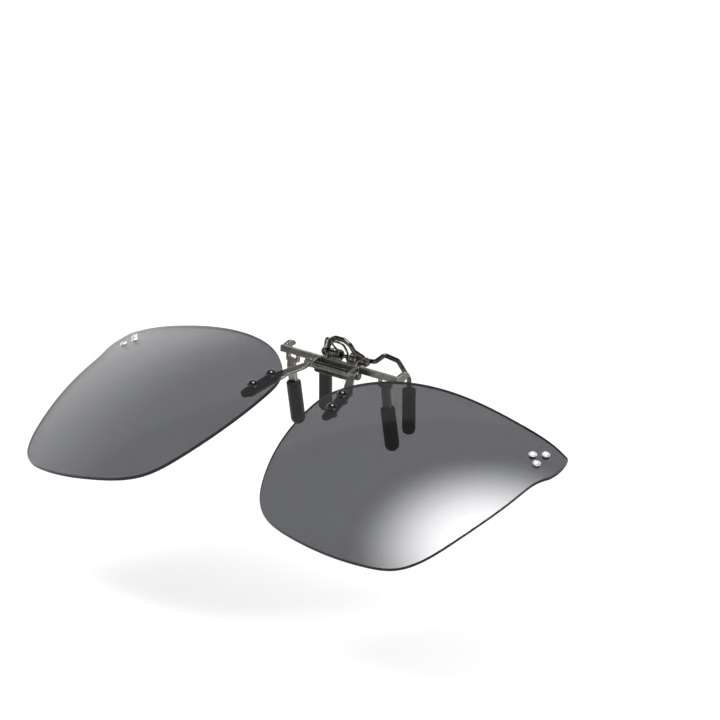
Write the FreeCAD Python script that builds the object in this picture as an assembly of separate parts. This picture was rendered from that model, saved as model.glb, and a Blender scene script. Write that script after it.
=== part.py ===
import FreeCAD, Part
import math
import os

# Clip-on flip-up sunglasses, in millimetres.
# X runs across the face, +Y is back towards the wearer, +Z is up.
# The origin is on the clip plate's flat rear face, which rests on the host frame, halfway across.

V = FreeCAD.Vector

# ---- driving dimensions -------------------------------------------------------------
PLATE_T = 0.8            # thickness of the stamped clip plate
PLATE_TOP = 0.25         # top and bottom edges of the plate between its ends
PLATE_BOTTOM = -1.25
PLATE_HALF = 17.3        # half the plate's length, to the outside of its end ears
LEG_X = 14.0             # distance of each front leg from the centre plane
JAW_X = 12.4             # distance of each rear finger from the centre plane
LEG_W = 2.1              # width of a front leg
LEG_TILT = 15.2          # lean of the front legs towards the wearer, degrees
LEG_BEND_Z = -4.1        # height where the front legs start to lean
LEG_LENGTH = 13.6        # length of the leaning part of a front leg

FLIP_Y, FLIP_Z = -2.6, -1.3      # the axis the lenses flip about
FLIP_ANGLE = 65.2                # how far the lenses are raised from hanging straight down
SHAFT_R = 0.45                   # radius of both pivot shafts
RUNNING_GAP = 0.05               # radial clearance of a shaft in its lugs
LUG_INNER = 5.3                  # inner face of each flip lug
LUG_T = 0.7                      # thickness of a lug
KNUCKLE_INNER = 6.08             # inner face of each lens arm's knuckle
KNUCKLE_OUTER = 7.4
HEAD_T = 0.6                     # thickness of a shaft's riveted head

JAW_Y, JAW_Z = 1.6, 0.9          # the axis the rear jaw opens about
JAW_LUG_INNER = 4.05             # inner face of each jaw lug
HUB_INNER = 5.0                  # inner face of each hub of the thumb lever
HUB_OUTER = 6.1
WIRE_R = 0.55                    # radius of the lever and jaw wire
SPRING_R = 0.27                  # radius of the spring wire

LENS_T = 0.75            # thickness of a lens
LENS_R = 133.1           # radius of a lens's front surface
LENS_TURN = 9.76         # how far each lens is turned to wrap around the face, degrees
VERTEX_U, VERTEX_V = 39.0, 15.0  # the point of a lens where its surface faces straight ahead
VERTEX_Y = -0.168        # the vertex's place behind the flip axis when the lens hangs down
AXIS_V = 1.173           # the flip axis's height in the lens's own downward coordinate
PAD_T = 0.6              # thickness of the gasket behind a lens
ARM_T = 0.6              # thickness of a lens arm
ARM_FRONT = -0.54        # the arm's flat front face, behind the flip axis when the lens hangs down
NUT_T = 0.5              # thickness of a nut
SCREWS = [(10.7, 9.9), (11.8, 14.9)]                 # both lens screws, outward and down
RIVETS = [(59.85, 3.99), (61.92, 2.03), (62.19, 5.64)]   # the trim rivets at the corner


# ---- small helpers --------------------------------------------------------------------
def box(x0, x1, y0, y1, z0, z1):
    return Part.makeBox(x1 - x0, y1 - y0, z1 - z0, V(x0, y0, z0))


def rod_x(x0, x1, y, z, radius):
    return Part.makeCylinder(radius, x1 - x0, V(x0, y, z), V(1, 0, 0))


def rod(start, end, radius):
    return Part.makeCylinder(radius, (end - start).Length, start, end - start)


def fused(shapes):
    solid = shapes[0].multiFuse(shapes[1:]) if len(shapes) > 1 else shapes[0]
    return solid.removeSplitter()


def mirrored(shape):
    return shape.mirror(V(0, 0, 0), V(1, 0, 0))


def profile_x(points, x0, x1):
    """A flat plate parallel to the YZ plane, from its outline of (y, z) points."""
    corners = [V(x0, y, z) for y, z in points]
    face = Part.Face(Part.makePolygon(corners + [corners[0]]))
    return face.extrude(V(x1 - x0, 0, 0))


def rounded_path(points, bend):
    """Straight stretches joined by tangent arcs of radius bend."""
    edges = []
    last = points[0]
    for before, corner, after in zip(points, points[1:], points[2:]):
        into = (corner - before).normalize()
        out = (after - corner).normalize()
        turn = into.getAngle(out)
        reach = bend * math.tan(turn / 2)
        start = corner - into * reach
        end = corner + out * reach
        inward = (out - into).normalize()
        centre = corner + inward * (bend / math.cos(turn / 2))
        middle = centre - inward * bend
        edges.append(Part.makeLine(last, start))
        edges.append(Part.Arc(start, middle, end).toShape())
        last = end
    edges.append(Part.makeLine(last, points[-1]))
    return Part.Wire(edges)


def swept(path, radius, start, direction):
    section = Part.Wire(Part.makeCircle(radius, start, direction))
    return path.makePipeShell([section], True, True)


def bent_wire(points, radius, bend):
    return swept(rounded_path(points, bend), radius, points[0], points[1] - points[0])


def eye(x0, x1, y, z, outer, inner):
    return rod_x(x0, x1, y, z, outer).cut(rod_x(x0 - 1, x1 + 1, y, z, inner))


# ---- the fixed clip -------------------------------------------------------------------
def lug(x0, y, z, radius, roots):
    """An ear of sheet from the plate to a shaft hole; roots are its two corners on the plate."""
    x1 = x0 + LUG_T
    away = V(0, y, z) - V(0, (roots[0][0] + roots[1][0]) / 2, (roots[0][1] + roots[1][1]) / 2)
    side = V(0, -away.z, away.y).normalize() * radius
    outline = [roots[0], roots[1], (y + side.y, z + side.z), (y - side.y, z - side.z)]
    ear = profile_x(outline, x0, x1).fuse(rod_x(x0, x1, y, z, radius))
    return ear.cut(rod_x(x0 - 1, x1 + 1, y, z, SHAFT_R + RUNNING_GAP))


def leg_direction():
    tilt = math.radians(LEG_TILT)
    return V(0, math.sin(tilt), -math.cos(tilt))


def front_leg():
    """The right front leg: straight at the plate, then leaning back into its sleeve."""
    x0 = LEG_X - LEG_W / 2
    top = box(x0, x0 + LEG_W, -PLATE_T, 0, LEG_BEND_Z, 0)
    down = leg_direction()
    back = V(0, -down.z, down.y)
    corner = V(x0, -PLATE_T, LEG_BEND_Z)
    end = corner + down * LEG_LENGTH
    outline = [(corner.y, corner.z), (corner.y + back.y * PLATE_T, corner.z + back.z * PLATE_T),
               (end.y + back.y * PLATE_T, end.z + back.z * PLATE_T), (end.y, end.z)]
    lean = profile_x(outline, x0, x0 + LEG_W)
    knee = rod_x(x0, x0 + LEG_W, -PLATE_T / 2, LEG_BEND_Z, PLATE_T / 2)
    return fused([top, lean, knee])


def end_ear():
    """The claw at the plate's right end, bent back to hook over the host frame's top edge."""
    outline = [(-PLATE_T, PLATE_BOTTOM), (1.6, PLATE_BOTTOM), (2.3, -0.7), (2.6, -0.2),
               (3.3, -0.25), (3.6, 0.25), (2.9, 0.85), (1.8, 1.0), (0.8, 0.6), (0, PLATE_TOP),
               (-PLATE_T, PLATE_TOP)]
    ear = profile_x(outline, PLATE_HALF - PLATE_T, PLATE_HALF)
    corners = [e for e in ear.Edges if abs(e.tangentAt(0).x) > 0.9 and e.CenterOfMass.y > 0.5]
    return ear.makeFillet(0.2, corners)


def leg_tab():
    """The widened tab above a front leg, with rounded lower corners."""
    tab = box(LEG_X - 2.1, LEG_X + 1.5, -PLATE_T, 0, -3.0, 0)
    lower = [e for e in tab.Edges if e.CenterOfMass.z < -2.9 and abs(e.tangentAt(0).y) > 0.9]
    return tab.makeFillet(0.8, lower)


def tab_slot():
    """The round-ended slot through the right tab."""
    slot_z = -1.6
    slot_r = 0.42
    slot_half = 0.7
    centre = LEG_X - 0.4
    slot = box(centre - slot_half, centre + slot_half, -2, 1, slot_z - slot_r, slot_z + slot_r)
    ends = [Part.makeCylinder(slot_r, 3, V(centre + s * slot_half, -2, slot_z), V(0, 1, 0))
            for s in (-1, 1)]
    return fused([slot] + ends)


def clip_plate():
    """Stamped plate with its legs, end ears, and the lugs that hold both shafts."""
    middle = -PLATE_T / 2
    strip = box(-PLATE_HALF, PLATE_HALF, -PLATE_T, 0, PLATE_BOTTOM, PLATE_TOP)
    top, bottom = (middle, PLATE_TOP), (middle, PLATE_BOTTOM)
    flip_lug = lug(LUG_INNER, FLIP_Y, FLIP_Z, 0.95, [top, bottom])
    jaw_lug = lug(JAW_LUG_INNER, JAW_Y, JAW_Z, 0.85, [bottom, top])
    right = [leg_tab(), front_leg(), end_ear(), flip_lug, jaw_lug]
    plate = fused([strip] + right + [mirrored(s) for s in right])
    return plate.cut(fused([tab_slot(), mirrored(tab_slot())]))


def sleeve_blank(top, bottom, radius, flat_side, flat_depth):
    """A soft round-ended sleeve with one flattened gripping side."""
    barrel = rod(top, bottom, radius)
    rim = [e for e in barrel.Edges if (e.CenterOfMass - top).Length < 0.05]
    body = fused([barrel.makeFillet(0.4, rim), Part.makeSphere(radius, bottom)])
    axis = (bottom - top).normalize()
    side = axis.cross(V(1, 0, 0)).normalize() * flat_side
    length = (bottom - top).Length + 3 * radius
    cutter = Part.makeBox(4 * radius, length, 2 * radius, V(-2 * radius, 0, -radius))
    turn = FreeCAD.Rotation(V(1, 0, 0), axis, side, "XYZ")
    place = top - axis * radius + side * (2 * radius - flat_depth)
    cutter.Placement = FreeCAD.Placement(place, turn)
    return body.cut(cutter)


def front_sleeve():
    down = leg_direction()
    start = V(LEG_X, -PLATE_T / 2, LEG_BEND_Z)
    top = start + down * 3.6
    bottom = start + down * 12.6
    return sleeve_blank(top, bottom, 1.65, -1, 0.35).cut(front_leg())


def flip_shaft():
    """Shaft of the lens carrier, with a domed head riveted over at each end."""
    half = KNUCKLE_OUTER
    shaft = rod_x(-half, half, FLIP_Y, FLIP_Z, SHAFT_R)
    head = rod_x(half, half + HEAD_T, FLIP_Y, FLIP_Z, 0.95)
    outer = [e for e in head.Edges if e.CenterOfMass.x > half + HEAD_T - 0.01]
    head = head.makeFillet(0.45, outer)
    return fused([shaft, head, mirrored(head)])


def jaw_pin():
    """Pin of the jaw, pressed into the plate's lugs and riveted over outside the hubs."""
    half = HUB_OUTER + 0.06
    shaft = rod_x(-half, half, JAW_Y, JAW_Z, SHAFT_R)
    head = rod_x(half, half + HEAD_T, JAW_Y, JAW_Z, 0.9)
    outer = [e for e in head.Edges if e.CenterOfMass.x > half + HEAD_T - 0.01]
    head = head.makeFillet(0.45, outer)
    return fused([shaft, head, mirrored(head)])


# ---- the sprung rear jaw -----------------------------------------------------------------
def thumb_lever():
    """Bent wire loop pressed by the thumb, ending in a hub on each side of the pin."""
    mid = (HUB_INNER + HUB_OUTER) / 2
    hub = eye(HUB_INNER, HUB_OUTER, JAW_Y, JAW_Z, 1.1, SHAFT_R + RUNNING_GAP)
    half = [V(1.3, -0.8, 5.35), V(2.9, -0.5, 4.5), V(3.7, 0.0, 3.1), V(mid, JAW_Y - 0.3, JAW_Z + 0.9)]
    points = [V(-p.x, p.y, p.z) for p in reversed(half)] + half
    loop = bent_wire(points, WIRE_R, 1.3)
    bore = rod_x(-9, 9, JAW_Y, JAW_Z, SHAFT_R + RUNNING_GAP)
    return fused([hub, mirrored(hub), loop]).cut(bore)


def jaw_path():
    """Right half of the jaw: from the hub, over the host frame and down behind it."""
    return [V(6.0, JAW_Y + 1.52, JAW_Z), V(7.4, 3.2, 1.1), V(8.5, 4.9, 2.6), V(10.6, 7.1, 1.4),
            V(JAW_X, 9.2, -2.7), V(JAW_X, 10.2, -14.0)]


def jaw_wire():
    points = jaw_path()
    wire = bent_wire(points, WIRE_R, 0.9)
    root = V((HUB_INNER + HUB_OUTER) / 2, points[0].y, points[0].z)
    foot = rod(root, points[0], WIRE_R)
    saddle = rod_x(HUB_INNER, HUB_OUTER, JAW_Y, JAW_Z, 1.1)
    return fused([wire, foot, Part.makeSphere(WIRE_R, root)]).cut(saddle)


def rear_sleeve():
    path = jaw_path()
    along = (path[-1] - path[-2]).normalize()
    top = path[-1] - along * 9.2
    blank = sleeve_blank(top, path[-1] + along * 0.2, 1.5, 1, 0.3)
    return blank.cut(rod(path[-2], path[-1], WIRE_R))


def jaw_spring():
    """Double torsion spring on the jaw pin: two coils joined by a loop that bears on the lever."""
    coil_r = 1.02
    turns = 4.0
    inner_x = 1.25
    pitch = 0.62
    start_angle = math.pi
    steps = 14
    points = [V(inner_x + turns * pitch, SPRING_R + 0.02, JAW_Z - 1.5),
              V(inner_x + turns * pitch, JAW_Y - coil_r, JAW_Z - 0.6)]
    total = int(turns * steps)
    for i in range(total + 1):
        angle = start_angle - 2 * math.pi * i / steps
        x = inner_x + pitch * turns * (1 - i / total)
        points.append(V(x, JAW_Y + coil_r * math.cos(angle), JAW_Z + coil_r * math.sin(angle)))
    points += [V(1.35, JAW_Y - coil_r, 1.6), V(1.8, -0.6, 3.3), V(1.5, -1.5, 4.5), V(0.6, -1.75, 4.75)]
    far = [V(-p.x, p.y, p.z) for p in reversed(points)]
    curve = Part.BSplineCurve()
    curve.interpolate(points + far)
    path = Part.Wire(curve.toShape())
    return swept(path, SPRING_R, points[0], points[1] - points[0])


# ---- the lens carrier, drawn hanging down from the flip axis --------------------------------
def lens_frame():
    """Placement of a lens's own axes: X outward, Y back along its normal, Z up, at its vertex."""
    turn = FreeCAD.Rotation(V(0, 0, 1), LENS_TURN)
    return FreeCAD.Placement(V(VERTEX_U, VERTEX_Y, AXIS_V - VERTEX_V), turn)


def flipped(shape):
    """Moves a shape drawn about the flip axis, hanging down, to its place at rest."""
    turn = FreeCAD.Rotation(V(-1, 0, 0), FLIP_ANGLE)
    moved = shape.copy()
    moved.Placement = FreeCAD.Placement(V(0, FLIP_Y, FLIP_Z), turn).multiply(moved.Placement)
    return moved


def placed(shape):
    """Moves a shape from a lens's own axes to its place at rest."""
    moved = shape.copy()
    moved.Placement = lens_frame().multiply(moved.Placement)
    return flipped(moved)


def local(u, v):
    return V(u - VERTEX_U, 0, VERTEX_V - v)


def shell(depth, thickness):
    """The curved layer that starts depth behind the lens's front surface."""
    centre = V(0, LENS_R, 0)
    outer = Part.makeSphere(LENS_R - depth, centre)
    return outer.cut(Part.makeSphere(LENS_R - depth - thickness, centre))


def surface_place(u, v, depth):
    """A placement on the lens whose Z axis is the surface's outward normal."""
    flat = local(u, v)
    centre = V(0, LENS_R, 0)
    drop = LENS_R - math.sqrt(LENS_R ** 2 - flat.x ** 2 - flat.z ** 2)
    outward = (V(flat.x, drop, flat.z) - centre).normalize()
    point = centre + outward * (LENS_R - depth)
    return FreeCAD.Placement(point, FreeCAD.Rotation(V(0, 0, 1), outward))


def lens_outline():
    """The rounded trapezoid of a lens: one smooth curve, and a short arc at its top outer corner."""
    around = [(66.0, -0.4), (62.0, -1.5), (51.6, -2.3), (27.2, -1.6), (12.0, 5.0), (7.3, 12.0),
              (6.9, 16.5), (12.8, 40.5), (17.4, 47.0), (30.5, 51.5), (48.8, 50.4), (55.3, 47.8),
              (62.3, 34.0), (65.2, 15.5), (65.6, 10.5), (66.7, 7.4)]
    curve = Part.BSplineCurve()
    curve.interpolate([local(u, v) for u, v in around])
    corner = Part.Arc(local(66.7, 7.4), local(67.0, 3.2), local(66.0, -0.4)).toShape()
    return Part.Wire([curve.toShape(), corner])


def screw_holes(radius):
    holes = []
    for u, v in SCREWS:
        hole = Part.makeCylinder(radius, 8, V(0, 0, -5))
        hole.Placement = surface_place(u, v, 0)
        holes.append(hole)
    return holes


def lens():
    blank = Part.Face(lens_outline()).extrude(V(0, 20, 0))
    blank.translate(V(0, -2, 0))
    holes = screw_holes(SHAFT_R)
    for u, v in RIVETS:
        hole = Part.makeCylinder(SHAFT_R, 8, V(0, 0, -5))
        hole.Placement = surface_place(u, v, 0)
        holes.append(hole)
    return blank.common(shell(0, LENS_T)).cut(fused(holes))


def screw_direction():
    first, second = local(*SCREWS[0]), local(*SCREWS[1])
    return (second - first).normalize()


def strip_behind_lens(half_width, before, beyond, depth, thickness):
    """A round-ended strip along the two screws, following the lens's curve."""
    along = screw_direction()
    start = local(*SCREWS[0]) - along * before
    end = local(*SCREWS[1]) + along * beyond
    across = V(along.z, 0, -along.x) * half_width
    corners = [start + across, end + across, end - across, start - across]
    bar = Part.Face(Part.makePolygon(corners + [corners[0]])).extrude(V(0, 12, 0))
    ends = [Part.makeCylinder(half_width, 12, p, V(0, 1, 0)) for p in (start, end)]
    layer = fused([bar] + ends).common(shell(depth, thickness))
    return layer.cut(fused(screw_holes(SHAFT_R)))


def lens_pad():
    return strip_behind_lens(1.25, 0.4, 2.2, LENS_T, PAD_T)


def lens_arm():
    """Flat strip from its knuckle on the shaft to the two screws behind the lens."""
    end = strip_behind_lens(1.05, 2.2, 1.2, LENS_T + PAD_T, ARM_T)
    end.Placement = lens_frame().multiply(end.Placement)
    corners = [(KNUCKLE_INNER, 0.5), (KNUCKLE_OUTER, 0.5), (KNUCKLE_OUTER, -1.05),
               (11.1, -6.2), (11.2, -6.7), (8.6, -6.7), (KNUCKLE_INNER, -2.2)]
    face = Part.Face(Part.makePolygon([V(x, ARM_FRONT, z) for x, z in corners + [corners[0]]]))
    strip = face.extrude(V(0, ARM_T, 0))
    knuckle = rod_x(KNUCKLE_INNER, KNUCKLE_OUTER, 0, 0, 1.0)
    return fused([end, strip, knuckle]).cut(rod_x(0, 20, 0, 0, SHAFT_R))


def dome_screws():
    screws = []
    reach = LENS_T + PAD_T + ARM_T + NUT_T + 0.1
    head_r = 1.3
    head_h = 0.85
    dome_r = (head_r ** 2 + head_h ** 2) / (2 * head_h)
    for u, v in SCREWS:
        ball = Part.makeSphere(dome_r, V(0, 0, head_h - dome_r))
        head = ball.common(Part.makeCylinder(2 * head_r, 2, V(0, 0, 0)))
        shank = Part.makeCylinder(SHAFT_R, reach, V(0, 0, -reach))
        screw = fused([head, shank])
        screw.Placement = surface_place(u, v, -0.01)
        screws.append(screw)
    return screws


def nuts():
    group = []
    nut_r = 0.9
    depth = LENS_T + PAD_T + ARM_T
    for u, v in SCREWS:
        corners = [V(nut_r * math.cos(k * math.pi / 3), nut_r * math.sin(k * math.pi / 3), 0)
                   for k in range(7)]
        nut = Part.Face(Part.makePolygon(corners)).extrude(V(0, 0, -NUT_T))
        nut = nut.cut(Part.makeCylinder(SHAFT_R, 4, V(0, 0, -2)))
        nut.Placement = surface_place(u, v, depth + 0.01)
        group.append(nut)
    return group


def corner_rivets():
    group = []
    head_r = 0.95
    head_h = 0.45
    dome_r = (head_r ** 2 + head_h ** 2) / (2 * head_h)
    for u, v in RIVETS:
        ball = Part.makeSphere(dome_r, V(0, 0, head_h - dome_r))
        head = ball.common(Part.makeCylinder(2 * head_r, 2, V(0, 0, 0)))
        shank = Part.makeCylinder(SHAFT_R, LENS_T + 0.02, V(0, 0, -LENS_T - 0.02))
        foot = Part.makeCylinder(0.8, 0.3, V(0, 0, -LENS_T - 0.32))
        rivet = fused([head, shank, foot])
        rivet.Placement = surface_place(u, v, -0.01)
        group.append(rivet)
    return group


def carrier_bar():
    """Tube on the flip shaft with the flat skirt that ties both sides together."""
    half = LUG_INNER - 0.06
    tube = rod_x(-half, half, FLIP_Y, FLIP_Z, 0.75)
    skirt = box(-half, half, FLIP_Y - 0.25, FLIP_Y + 0.25, FLIP_Z - 1.6, FLIP_Z)
    low = [e for e in skirt.Edges if e.CenterOfMass.z < FLIP_Z - 1.5 and abs(e.tangentAt(0).y) > 0.9]
    skirt = skirt.makeFillet(0.6, low)
    return fused([tube, skirt]).cut(rod_x(-9, 9, FLIP_Y, FLIP_Z, SHAFT_R))


# ---- writing the parts -------------------------------------------------------------------------
def save(node, shape):
    shape.exportStep("parts/" + node + ".step")


def save_pair(node, right):
    """Writes a piece and its mirror image; right is a shape or a list of equal fasteners."""
    group = right if isinstance(right, list) else [right]
    for side, shapes in (("right", group), ("left", [mirrored(s) for s in group])):
        save(node + "_" + side, shapes[0] if len(shapes) == 1 else Part.makeCompound(shapes))


os.makedirs("parts", exist_ok=True)
save("clip_plate", clip_plate())
save_pair("front_sleeve", front_sleeve())
save("jaw_pin", jaw_pin())
save("jaw_spring", jaw_spring())
save("thumb_lever", thumb_lever())
save_pair("jaw_wire", jaw_wire())
save_pair("rear_sleeve", rear_sleeve())
save("flip_shaft", flip_shaft())
save("carrier_bar", carrier_bar())
save_pair("lens", placed(lens()))
save_pair("lens_pad", placed(lens_pad()))
save_pair("lens_arm", flipped(lens_arm()))
save_pair("lens_screws", [placed(s) for s in dome_screws()])
save_pair("lens_nuts", [placed(s) for s in nuts()])
save_pair("corner_rivets", [placed(s) for s in corner_rivets()])
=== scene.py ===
import math

import bpy
import numpy as np
from mathutils import Matrix, Vector


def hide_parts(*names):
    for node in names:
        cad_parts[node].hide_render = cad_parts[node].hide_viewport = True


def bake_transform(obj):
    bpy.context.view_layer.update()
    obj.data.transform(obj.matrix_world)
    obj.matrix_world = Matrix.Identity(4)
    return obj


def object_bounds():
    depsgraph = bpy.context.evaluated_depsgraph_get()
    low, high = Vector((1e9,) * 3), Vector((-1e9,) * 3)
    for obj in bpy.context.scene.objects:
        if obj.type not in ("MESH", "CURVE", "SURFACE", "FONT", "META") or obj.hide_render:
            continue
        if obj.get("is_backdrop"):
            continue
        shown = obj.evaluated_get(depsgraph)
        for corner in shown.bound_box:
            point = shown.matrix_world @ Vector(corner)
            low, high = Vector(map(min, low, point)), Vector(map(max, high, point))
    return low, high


# Clip-on flip-up sunglasses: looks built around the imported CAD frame.
# Lengths are in metres, angles in degrees, and noise scales in cycles per metre.
MM = 0.001
SIDES = ("left", "right")

# Camera: a long lens from the front right, slightly above, with a small roll.
CAMERA_AZIMUTH = 40.4
CAMERA_ELEVATION = 14.64
CAMERA_ROLL = 3.72
CAMERA_DISTANCE = 2.0
CAMERA_FAR_LIMIT = 20.0
CAMERA_LENS_MM = 450.0
AIM_BASE = Vector((0.0, -1.4 * MM, -1.1 * MM))
AIM_RIGHT = 5.27 * MM            # the aim point is this far from AIM_BASE across the picture
AIM_UP = 1.63 * MM               # and this far up it

# Floor
FLOOR_DROP = 27 * MM             # leaves room below the object for lenses that hang straight down
FLOOR_REACH = 6.0

# Light
ROOM_LIGHT = 0.95                # brightness of the white room for soft light
CEILING_REFLECTION = 0.09        # the dark studio ceiling, as seen in reflections
HORIZON_REFLECTION = 0.95        # the bright backdrop all round, near the horizon
CEILING_STARTS = 0.72            # upward part of a direction above which it is all ceiling
HORIZON_STARTS = 0.35            # and below which it is all backdrop
PANEL_REFLECTION = 0.20          # a grey panel that fills one side of the studio
PANEL_NORMAL = (-0.362, 0.776, -0.516)       # it shows in the directions on this side of a plane
PANEL_FADE = (-0.055, -0.02)     # where its soft edge starts and ends
GLOW_PLACE = (0.08, -0.088, 0.8)             # the round softbox overhead
GLOW_RADIUS = 0.40
GLOW_STRENGTH = 21.0
GLOW_CORNERS = 48
KEY_PLACE = (-0.3, -0.45, 0.8)   # the key light, above the front left
KEY_SIZE = (0.35, 0.35)
KEY_POWER = 3.0
STRIP_PLACE = (0.6, -0.1, 0.35)  # the strip light at the right
STRIP_SIZE = (0.12, 0.5)
STRIP_POWER = 1.2

# Materials
RAMP_DARK_END = 0.35             # noise below this gives the darker tone
RAMP_LIGHT_END = 0.7             # and above this the lighter one
FINE = 2.0                       # noise detail of the finest textures
PLATING_MOTTLE = 900.0
PLATING_GRAIN = 6000.0
PLATING_RELIEF = 0.02 * MM
WORN_AND_HIGHLIT_EDGE = 0.12 * MM            # how far the edge wear and the painted highlight reach from an edge
EDGE_MARK_STARTS = 0.995              # cosine of the edge's rounding where the wear and the painted highlight begin
EDGE_MARK_FULL = 0.85                 # and where it is complete
EDGE_MARK_SAMPLES = 4
SLEEVE_MOTTLE = 700.0
SLEEVE_PORES = 5000.0
PORE_DEPTH = 0.03 * MM
LACQUER_PEEL = 2500.0
PEEL_DEPTH = 0.02 * MM
FLOOR_MOTTLE = 8.0
LENS_INDEX = 1.5
LENS_TINT = (0.360, 0.362, 0.376)            # what one face lets through
TINT_MOTTLE = 30.0
TINT_DARKEST = 0.97              # the tint's darkest part compared with its lightest
HAZE_SHARE = 0.01                # share of the light that a face scatters
HAZE_COLOUR = (0.30, 0.31, 0.33, 1)
POLISH_MOTTLE = 300.0
POLISH_ROUGHNESS = (0.015, 0.04)
GRIND_MOTTLE = 3000.0
GRIND_ROUGHNESS = (0.18, 0.32)
SHADOW_TINT = (0.72, 0.72, 0.73)             # soft light is dimmed less, which keeps shadows faint
MIX_FIRST = 6                    # sockets of a colour mix node
MIX_SECOND = 7
MIX_RESULT = 2

# Lens faces are told apart by how squarely they face along the lens's axis.
SURELY_FRONT = 0.8
CUT_EDGE = 0.6

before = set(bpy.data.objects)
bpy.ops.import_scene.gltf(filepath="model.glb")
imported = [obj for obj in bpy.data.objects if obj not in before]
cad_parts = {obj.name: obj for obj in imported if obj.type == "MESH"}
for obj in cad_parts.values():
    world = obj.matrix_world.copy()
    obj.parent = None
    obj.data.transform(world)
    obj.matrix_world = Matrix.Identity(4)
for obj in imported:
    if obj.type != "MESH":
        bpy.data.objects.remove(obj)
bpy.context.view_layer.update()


# ---- node helpers -----------------------------------------------------------------------
def new_material(name):
    """An empty node material, its node tree and its output node."""
    material = bpy.data.materials.new(name)
    material.use_nodes = True
    tree = material.node_tree
    tree.nodes.clear()
    output = tree.nodes.new("ShaderNodeOutputMaterial")
    return material, tree, output


def add(tree, kind, **values):
    """Adds a node; a value whose name is a socket's sets the socket, any other sets the node."""
    node = tree.nodes.new("ShaderNode" + kind)
    for key, value in values.items():
        socket = node.inputs.get(key.replace("_", " "))
        if socket is not None:
            socket.default_value = value
        else:
            setattr(node, key, value)
    return node


def noise(tree, scale, detail=3.0):
    """Noise fixed in the object's own space."""
    place = add(tree, "TexCoord")
    texture = add(tree, "TexNoise", Scale=scale, Detail=detail)
    tree.links.new(place.outputs["Object"], texture.inputs["Vector"])
    return texture.outputs["Fac"]


def remap(tree, value, low, high):
    """Turns a value from 0 to 1 into one from low to high."""
    node = add(tree, "MapRange", To_Min=low, To_Max=high)
    tree.links.new(value, node.inputs["Value"])
    return node.outputs["Result"]


def two_tone(tree, value, dark, light):
    """A colour that runs from dark to light with value."""
    ramp = add(tree, "ValToRGB")
    ramp.color_ramp.elements[0].position = RAMP_DARK_END
    ramp.color_ramp.elements[0].color = (*dark, 1)
    ramp.color_ramp.elements[1].position = RAMP_LIGHT_END
    ramp.color_ramp.elements[1].color = (*light, 1)
    tree.links.new(value, ramp.inputs["Fac"])
    return ramp.outputs["Color"]


def mix_colours(tree, share, first, second):
    """The first colour where share is 0, turning into the second where it is 1."""
    node = add(tree, "Mix", data_type="RGBA")
    tree.links.new(share, node.inputs["Factor"])
    tree.links.new(first, node.inputs[MIX_FIRST])
    node.inputs[MIX_SECOND].default_value = (*second, 1)
    return node.outputs[MIX_RESULT]


def bump(tree, height, strength, distance):
    """A bump node whose height comes from a noise."""
    node = add(tree, "Bump", Strength=strength, Distance=distance)
    tree.links.new(height, node.inputs["Height"])
    return node


def edge_wear_and_highlight(tree):
    """An edge mask for rubbed wear and a painted highlight, near 1 on edges and 0 on flats, and
    the normal of the rounded edge.
    """
    bevel = add(tree, "Bevel", Radius=WORN_AND_HIGHLIT_EDGE)
    bevel.samples = EDGE_MARK_SAMPLES
    geometry = add(tree, "NewGeometry")
    facing = add(tree, "VectorMath", operation="DOT_PRODUCT")
    tree.links.new(bevel.outputs["Normal"], facing.inputs[0])
    tree.links.new(geometry.outputs["Normal"], facing.inputs[1])
    wear_and_highlight = add(tree, "MapRange", From_Min=EDGE_MARK_STARTS, From_Max=EDGE_MARK_FULL)
    tree.links.new(facing.outputs["Value"], wear_and_highlight.inputs["Value"])
    return wear_and_highlight.outputs["Result"], bevel.outputs["Normal"]


# ---- metals -------------------------------------------------------------------------------
def metal(name, dark, light, worn_and_highlit, rough):
    """Plated metal: mottled plating, fine grain, and brighter edges that are partly rubbed wear
    and partly a painted highlight.
    """
    material, tree, output = new_material(name)
    shader = add(tree, "BsdfPrincipled", Metallic=1.0)
    mottle = noise(tree, PLATING_MOTTLE, detail=4.0)
    grain = noise(tree, PLATING_GRAIN, FINE)
    wear_and_highlight, rounded = edge_wear_and_highlight(tree)
    # the edge colour is partly rubbed wear and partly a painted highlight
    colour = mix_colours(tree, wear_and_highlight, two_tone(tree, mottle, dark, light), worn_and_highlit)
    tree.links.new(colour, shader.inputs["Base Color"])
    tree.links.new(remap(tree, grain, 0.75 * rough, 1.3 * rough), shader.inputs["Roughness"])
    relief = bump(tree, grain, strength=0.12, distance=PLATING_RELIEF)
    tree.links.new(rounded, relief.inputs["Normal"])
    tree.links.new(relief.outputs["Normal"], shader.inputs["Normal"])
    tree.links.new(shader.outputs["BSDF"], output.inputs["Surface"])
    return material


def gunmetal_plate():
    """Satin gunmetal of the stamped plate and the lens arms, whose near-white edges are a painted
    highlight as well as rubbed wear.
    """
    return metal("gunmetal_plate", dark=(0.14, 0.133, 0.12), light=(0.22, 0.21, 0.192),
                 worn_and_highlit=(0.85, 0.83, 0.8), rough=0.33)


def gunmetal_wire():
    """Dark, shinier gunmetal of the bent wires."""
    return metal("gunmetal_wire", dark=(0.025, 0.023, 0.021), light=(0.12, 0.108, 0.095),
                 worn_and_highlit=(0.4, 0.38, 0.36), rough=0.14)


def gunmetal_tube():
    """Shiny gunmetal of the tube between the lens arms."""
    return metal("gunmetal_tube", dark=(0.08, 0.08, 0.07), light=(0.16, 0.16, 0.145),
                 worn_and_highlit=(0.4, 0.39, 0.37), rough=0.16)


def satin_nickel():
    """Bright satin nickel of the trim rivets."""
    return metal("satin_nickel", dark=(0.8, 0.79, 0.77), light=(0.92, 0.91, 0.89),
                 worn_and_highlit=(0.95, 0.94, 0.92), rough=0.42)


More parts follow.
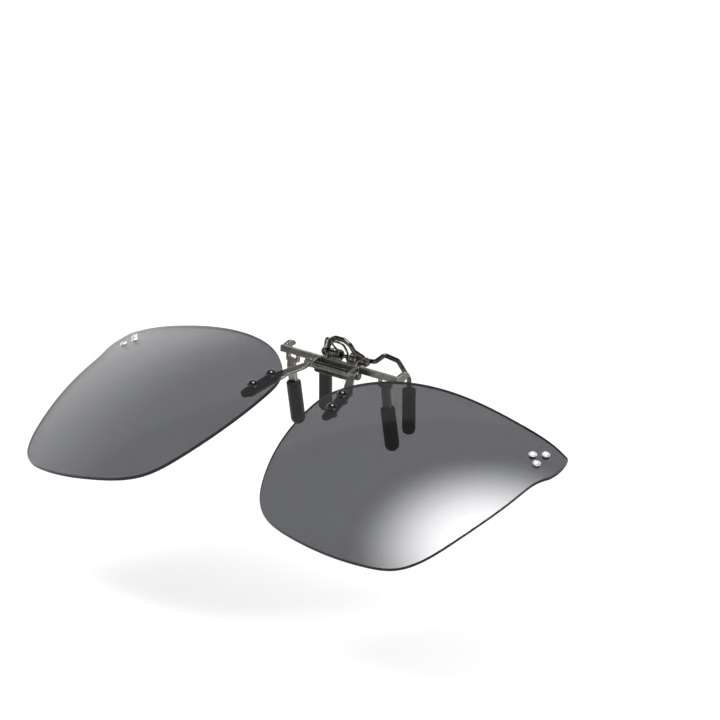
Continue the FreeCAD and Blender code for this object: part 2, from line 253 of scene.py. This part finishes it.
def dark_nickel_pins():
    """Polished dark nickel of both pivot pins."""
    return metal("dark_nickel_pins", dark=(0.04, 0.039, 0.037), light=(0.14, 0.136, 0.13),
                 worn_and_highlit=(0.4, 0.39, 0.38), rough=0.1)


def spring_steel():
    """Drawn spring wire, dark in its coils with bright glints."""
    return metal("spring_steel", dark=(0.02, 0.019, 0.018), light=(0.22, 0.212, 0.2),
                 worn_and_highlit=(0.6, 0.59, 0.57), rough=0.1)


# ---- blacks -------------------------------------------------------------------------------
def soft_black(name, tone, rough):
    """Moulded soft black: a faint pebble, with a dull sheen that varies."""
    material, tree, output = new_material(name)
    shader = add(tree, "BsdfPrincipled", Specular_IOR_Level=0.25)
    mottle = noise(tree, SLEEVE_MOTTLE)
    pores = noise(tree, SLEEVE_PORES, FINE)
    colour = two_tone(tree, mottle, (tone,) * 3, (1.8 * tone,) * 3)
    tree.links.new(colour, shader.inputs["Base Color"])
    tree.links.new(remap(tree, mottle, 0.85 * rough, 1.2 * rough), shader.inputs["Roughness"])
    pebble = bump(tree, pores, strength=0.25, distance=PORE_DEPTH)
    tree.links.new(pebble.outputs["Normal"], shader.inputs["Normal"])
    tree.links.new(shader.outputs["BSDF"], output.inputs["Surface"])
    return material


def black_sleeve():
    """The soft sleeves that grip the glasses."""
    return soft_black("black_sleeve", tone=0.008, rough=0.42)


def black_gasket():
    """The darker, duller gaskets behind the lenses."""
    return soft_black("black_gasket", tone=0.006, rough=0.5)


def gloss_black_lacquer():
    """Glossy black lacquer on the screws and nuts, with faint orange peel."""
    material, tree, output = new_material("gloss_black_lacquer")
    shader = add(tree, "BsdfPrincipled", Coat_Weight=0.25, Coat_Roughness=0.04,
                 Roughness=0.12, Specular_IOR_Level=0.3)
    peel = noise(tree, LACQUER_PEEL, FINE)
    colour = two_tone(tree, peel, (0.003, 0.003, 0.003), (0.008, 0.008, 0.009))
    tree.links.new(colour, shader.inputs["Base Color"])
    relief = bump(tree, peel, strength=0.08, distance=PEEL_DEPTH)
    tree.links.new(relief.outputs["Normal"], shader.inputs["Normal"])
    tree.links.new(shader.outputs["BSDF"], output.inputs["Surface"])
    return material


# ---- lens materials -----------------------------------------------------------------------
def soft_light(tree):
    """1 for the rays that work out shadows and soft light, 0 for what is looked at directly."""
    path = add(tree, "LightPath")
    either = add(tree, "Math", operation="MAXIMUM")
    tree.links.new(path.outputs["Is Shadow Ray"], either.inputs[0])
    tree.links.new(path.outputs["Is Diffuse Ray"], either.inputs[1])
    return either.outputs["Value"]


def lens_reflectance(tree):
    """The share of light that a lens face reflects, from outside and from inside alike."""
    side = add(tree, "NewGeometry")
    index = remap(tree, side.outputs["Backfacing"], LENS_INDEX, 1 / LENS_INDEX)
    fresnel = add(tree, "Fresnel")
    tree.links.new(index, fresnel.inputs["IOR"])
    return fresnel.outputs["Fac"]


def smoke_lens():
    """Smoke-grey polarised lens: light passes straight through each face, dimmed by the tint."""
    material, tree, output = new_material("smoke_lens")
    clear = add(tree, "BsdfTransparent")
    darkest = tuple(TINT_DARKEST * part for part in LENS_TINT)
    tint = two_tone(tree, noise(tree, TINT_MOTTLE, FINE), darkest, LENS_TINT)
    passed = mix_colours(tree, soft_light(tree), tint, SHADOW_TINT)
    tree.links.new(passed, clear.inputs["Color"])
    haze = add(tree, "BsdfDiffuse", Color=HAZE_COLOUR)
    body = add(tree, "MixShader", Fac=HAZE_SHARE)
    tree.links.new(clear.outputs["BSDF"], body.inputs[1])
    tree.links.new(haze.outputs["BSDF"], body.inputs[2])
    gloss = add(tree, "BsdfGlossy", Color=(1, 1, 1, 1))
    polish = remap(tree, noise(tree, POLISH_MOTTLE), *POLISH_ROUGHNESS)
    tree.links.new(polish, gloss.inputs["Roughness"])
    surface = add(tree, "MixShader")
    tree.links.new(lens_reflectance(tree), surface.inputs["Fac"])
    tree.links.new(body.outputs["Shader"], surface.inputs[1])
    tree.links.new(gloss.outputs["BSDF"], surface.inputs[2])
    tree.links.new(surface.outputs["Shader"], output.inputs["Surface"])
    return material


def smoke_lens_edge():
    """The ground and polished rim of a lens, where the tint reads nearly black."""
    material, tree, output = new_material("smoke_lens_edge")
    shader = add(tree, "BsdfPrincipled", Specular_IOR_Level=0.2)
    grind = noise(tree, GRIND_MOTTLE, FINE)
    colour = two_tone(tree, grind, (0.006, 0.006, 0.007), (0.016, 0.016, 0.018))
    tree.links.new(colour, shader.inputs["Base Color"])
    tree.links.new(remap(tree, grind, *GRIND_ROUGHNESS), shader.inputs["Roughness"])
    tree.links.new(shader.outputs["BSDF"], output.inputs["Surface"])
    return material


# ---- materials on the pieces --------------------------------------------------------------
def dress(node, material):
    """Gives a CAD node one material."""
    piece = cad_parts[node]
    piece.data.materials.clear()
    piece.data.materials.append(material)


def dress_all():
    """Gives every CAD node its material, each lens its rim, and the spring a copy that takes its
    place.
    """
    plate, wire, pins = gunmetal_plate(), gunmetal_wire(), dark_nickel_pins()
    rubber, lacquer = black_sleeve(), gloss_black_lacquer()
    by_node = {"clip_plate": plate, "carrier_bar": gunmetal_tube(), "thumb_lever": wire,
               "jaw_spring": spring_steel(), "jaw_pin": pins, "flip_shaft": pins}
    by_pair = {"front_sleeve": rubber, "rear_sleeve": rubber, "jaw_wire": wire,
               "lens": smoke_lens(), "lens_arm": plate, "lens_pad": black_gasket(),
               "lens_screws": lacquer, "lens_nuts": lacquer, "corner_rivets": satin_nickel()}
    for node, material in by_node.items():
        dress(node, material)
    for node, material in by_pair.items():
        for side in SIDES:
            dress(node + "_" + side, material)
    rim = smoke_lens_edge()
    for side in SIDES:
        finish_lens(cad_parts["lens_" + side], rim)
    springy_loop(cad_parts["jaw_spring"])


def sphere_centre(points):
    """Centre of the sphere that best fits the points."""
    rows = np.hstack([2 * points, np.ones((len(points), 1))])
    answer = np.linalg.lstsq(rows, (points ** 2).sum(1), rcond=None)[0]
    return Vector(answer[:3])


def lens_axis(mesh):
    """The direction that most of a lens's surface faces along."""
    spread = np.zeros((3, 3))
    for face in mesh.polygons:
        normal = np.array(face.normal)
        spread += face.area * np.outer(normal, normal)
    return Vector(np.linalg.eigh(spread)[1][:, 2])


def finish_lens(piece, rim):
    """Gives a lens the exact smooth normals of its sphere, and its cut edge the rim material."""
    mesh = piece.data
    mesh.materials.append(rim)
    axis = lens_axis(mesh)
    front = {v for f in mesh.polygons if f.normal.dot(axis) > SURELY_FRONT for v in f.vertices}
    centre = sphere_centre(np.array([mesh.vertices[v].co for v in sorted(front)]))
    normals = [loop.normal.copy() for loop in mesh.loops]
    for face in mesh.polygons:
        if abs(face.normal.dot(axis)) < CUT_EDGE:
            face.material_index = 1
            continue
        for loop in face.loop_indices:
            outward = (mesh.vertices[mesh.loops[loop].vertex_index].co - centre).normalized()
            normals[loop] = outward if outward.dot(face.normal) > 0 else -outward
    mesh.normals_split_custom_set(normals)


def springy_loop(cad_spring):
    """A copy of the spring's mesh, baked into world space, takes the place of the CAD spring,
    which is hidden.
    """
    piece = bpy.data.objects.new("jaw_spring_wire", cad_spring.data.copy())
    bpy.context.scene.collection.objects.link(piece)
    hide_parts("jaw_spring")
    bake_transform(piece)


# ---- stage ----------------------------------------------------------------------------------
def mesh_object(name, vertices, faces, material):
    """A mesh with one material, in the scene."""
    mesh = bpy.data.meshes.new(name)
    mesh.from_pydata(vertices, [], faces)
    mesh.materials.append(material)
    made = bpy.data.objects.new(name, mesh)
    bpy.context.scene.collection.objects.link(made)
    return made


def floor_material():
    """Plain white studio floor with the faintest unevenness."""
    material, tree, output = new_material("studio_floor")
    shader = add(tree, "BsdfPrincipled", Roughness=0.9, Specular_IOR_Level=0.0)
    colour = two_tone(tree, noise(tree, FLOOR_MOTTLE), (0.93,) * 3, (0.95,) * 3)
    tree.links.new(colour, shader.inputs["Base Color"])
    tree.links.new(shader.outputs["BSDF"], output.inputs["Surface"])
    return material


def studio_floor():
    """A wide level floor below the object."""
    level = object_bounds()[0][2] - FLOOR_DROP
    corners = [(x * FLOOR_REACH, y * FLOOR_REACH, level)
               for x, y in ((-1, -1), (1, -1), (1, 1), (-1, 1))]
    mesh_object("studio_floor", corners, [(0, 1, 2, 3)], floor_material())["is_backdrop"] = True


def glow_material():
    """Light that fades from the middle of a card to its rim."""
    material, tree, output = new_material("softbox_glow")
    place = add(tree, "TexCoord")
    length = add(tree, "VectorMath", operation="LENGTH")
    tree.links.new(place.outputs["Object"], length.inputs[0])
    fade = add(tree, "MapRange", interpolation_type="SMOOTHERSTEP", From_Max=GLOW_RADIUS,
               To_Min=1.0, To_Max=0.0)
    tree.links.new(length.outputs["Value"], fade.inputs["Value"])
    strength = add(tree, "Math", operation="MULTIPLY")
    strength.inputs[1].default_value = GLOW_STRENGTH
    tree.links.new(fade.outputs["Result"], strength.inputs[0])
    emission = add(tree, "Emission")
    tree.links.new(strength.outputs["Value"], emission.inputs["Strength"])
    tree.links.new(emission.outputs["Emission"], output.inputs["Surface"])
    return material


def glow_card():
    """A round softbox overhead, which shows only in reflections, as the glow in a lens."""
    turns = [2 * math.pi * k / GLOW_CORNERS for k in range(GLOW_CORNERS)]
    rim = [(GLOW_RADIUS * math.cos(turn), GLOW_RADIUS * math.sin(turn), 0) for turn in turns]
    card = mesh_object("softbox_glow", rim, [tuple(range(GLOW_CORNERS))], glow_material())
    card.location = Vector(GLOW_PLACE)
    card.visible_camera = False
    card.visible_diffuse = False
    card.visible_shadow = False
    card.visible_transmission = False
    card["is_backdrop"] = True


# ---- lights and camera ----------------------------------------------------------------------
def area_light(name, place, size, power):
    """A rectangular soft light aimed at the object, which leaves no reflection of its own."""
    light = bpy.data.lights.new(name, "AREA")
    light.shape = "RECTANGLE"
    light.size, light.size_y = size
    light.energy = power
    lamp = bpy.data.objects.new(name, light)
    bpy.context.scene.collection.objects.link(lamp)
    lamp.location = place
    lamp.visible_glossy = False
    lamp.rotation_euler = (-Vector(place)).to_track_quat("-Z", "Y").to_euler()


def ceiling_and_horizon(tree, direction):
    """Dark for directions that point up to the ceiling, bright for those near the horizon."""
    split = add(tree, "SeparateXYZ")
    tree.links.new(direction, split.inputs["Vector"])
    level = add(tree, "MapRange", interpolation_type="SMOOTHSTEP", From_Min=CEILING_STARTS,
                From_Max=HORIZON_STARTS, To_Min=CEILING_REFLECTION, To_Max=HORIZON_REFLECTION)
    tree.links.new(split.outputs["Z"], level.inputs["Value"])
    return level.outputs["Result"]


def side_panel(tree, direction):
    """The grey panel, for directions on its side of the studio."""
    side = add(tree, "VectorMath", operation="DOT_PRODUCT")
    side.inputs[1].default_value = PANEL_NORMAL
    tree.links.new(direction, side.inputs[0])
    level = add(tree, "MapRange", interpolation_type="SMOOTHSTEP", From_Min=PANEL_FADE[0],
                From_Max=PANEL_FADE[1], To_Max=PANEL_REFLECTION)
    tree.links.new(side.outputs["Value"], level.inputs["Value"])
    return level.outputs["Result"]


def studio_world():
    """A white room for soft light, which reflections see as a darker studio."""
    world = bpy.data.worlds.new("studio_world")
    world.use_nodes = True
    tree = world.node_tree
    background = tree.nodes["Background"]
    background.inputs["Color"].default_value = (1, 1, 1, 1)
    direction = add(tree, "TexCoord").outputs["Generated"]
    reflected = add(tree, "Math", operation="ADD")
    tree.links.new(ceiling_and_horizon(tree, direction), reflected.inputs[0])
    tree.links.new(side_panel(tree, direction), reflected.inputs[1])
    path = add(tree, "LightPath")
    level = add(tree, "MapRange", To_Min=ROOM_LIGHT)
    tree.links.new(reflected.outputs["Value"], level.inputs["To Max"])
    tree.links.new(path.outputs["Is Glossy Ray"], level.inputs["Value"])
    tree.links.new(level.outputs["Result"], background.inputs["Strength"])
    bpy.context.scene.world = world


def studio_lights():
    """The room's own light, with the key light and the strip light."""
    studio_world()
    bpy.context.scene.view_settings.view_transform = "Standard"
    area_light("key_softbox", KEY_PLACE, KEY_SIZE, KEY_POWER)
    area_light("side_strip", STRIP_PLACE, STRIP_SIZE, STRIP_POWER)


def photo_camera():
    """The camera, turned about its own line of sight by the roll."""
    azimuth = math.radians(CAMERA_AZIMUTH)
    elevation = math.radians(CAMERA_ELEVATION)
    roll = math.radians(CAMERA_ROLL)
    back = Vector((math.sin(azimuth) * math.cos(elevation),
                   -math.cos(azimuth) * math.cos(elevation), math.sin(elevation)))
    right = Vector((math.cos(azimuth), math.sin(azimuth), 0))
    up = back.cross(right)
    tilted_right = right * math.cos(roll) + up * math.sin(roll)
    tilted_up = up * math.cos(roll) - right * math.sin(roll)
    aim = AIM_BASE + tilted_right * AIM_RIGHT + tilted_up * AIM_UP
    camera = bpy.data.cameras.new("photo_camera")
    camera.lens = CAMERA_LENS_MM
    camera.clip_end = CAMERA_FAR_LIMIT
    made = bpy.data.objects.new("photo_camera", camera)
    bpy.context.scene.collection.objects.link(made)
    axes = Matrix((tilted_right, tilted_up, back)).transposed().to_4x4()
    made.matrix_world = Matrix.Translation(aim + back * CAMERA_DISTANCE) @ axes
    bpy.context.scene.camera = made


dress_all()
studio_floor()
studio_lights()
glow_card()
photo_camera()
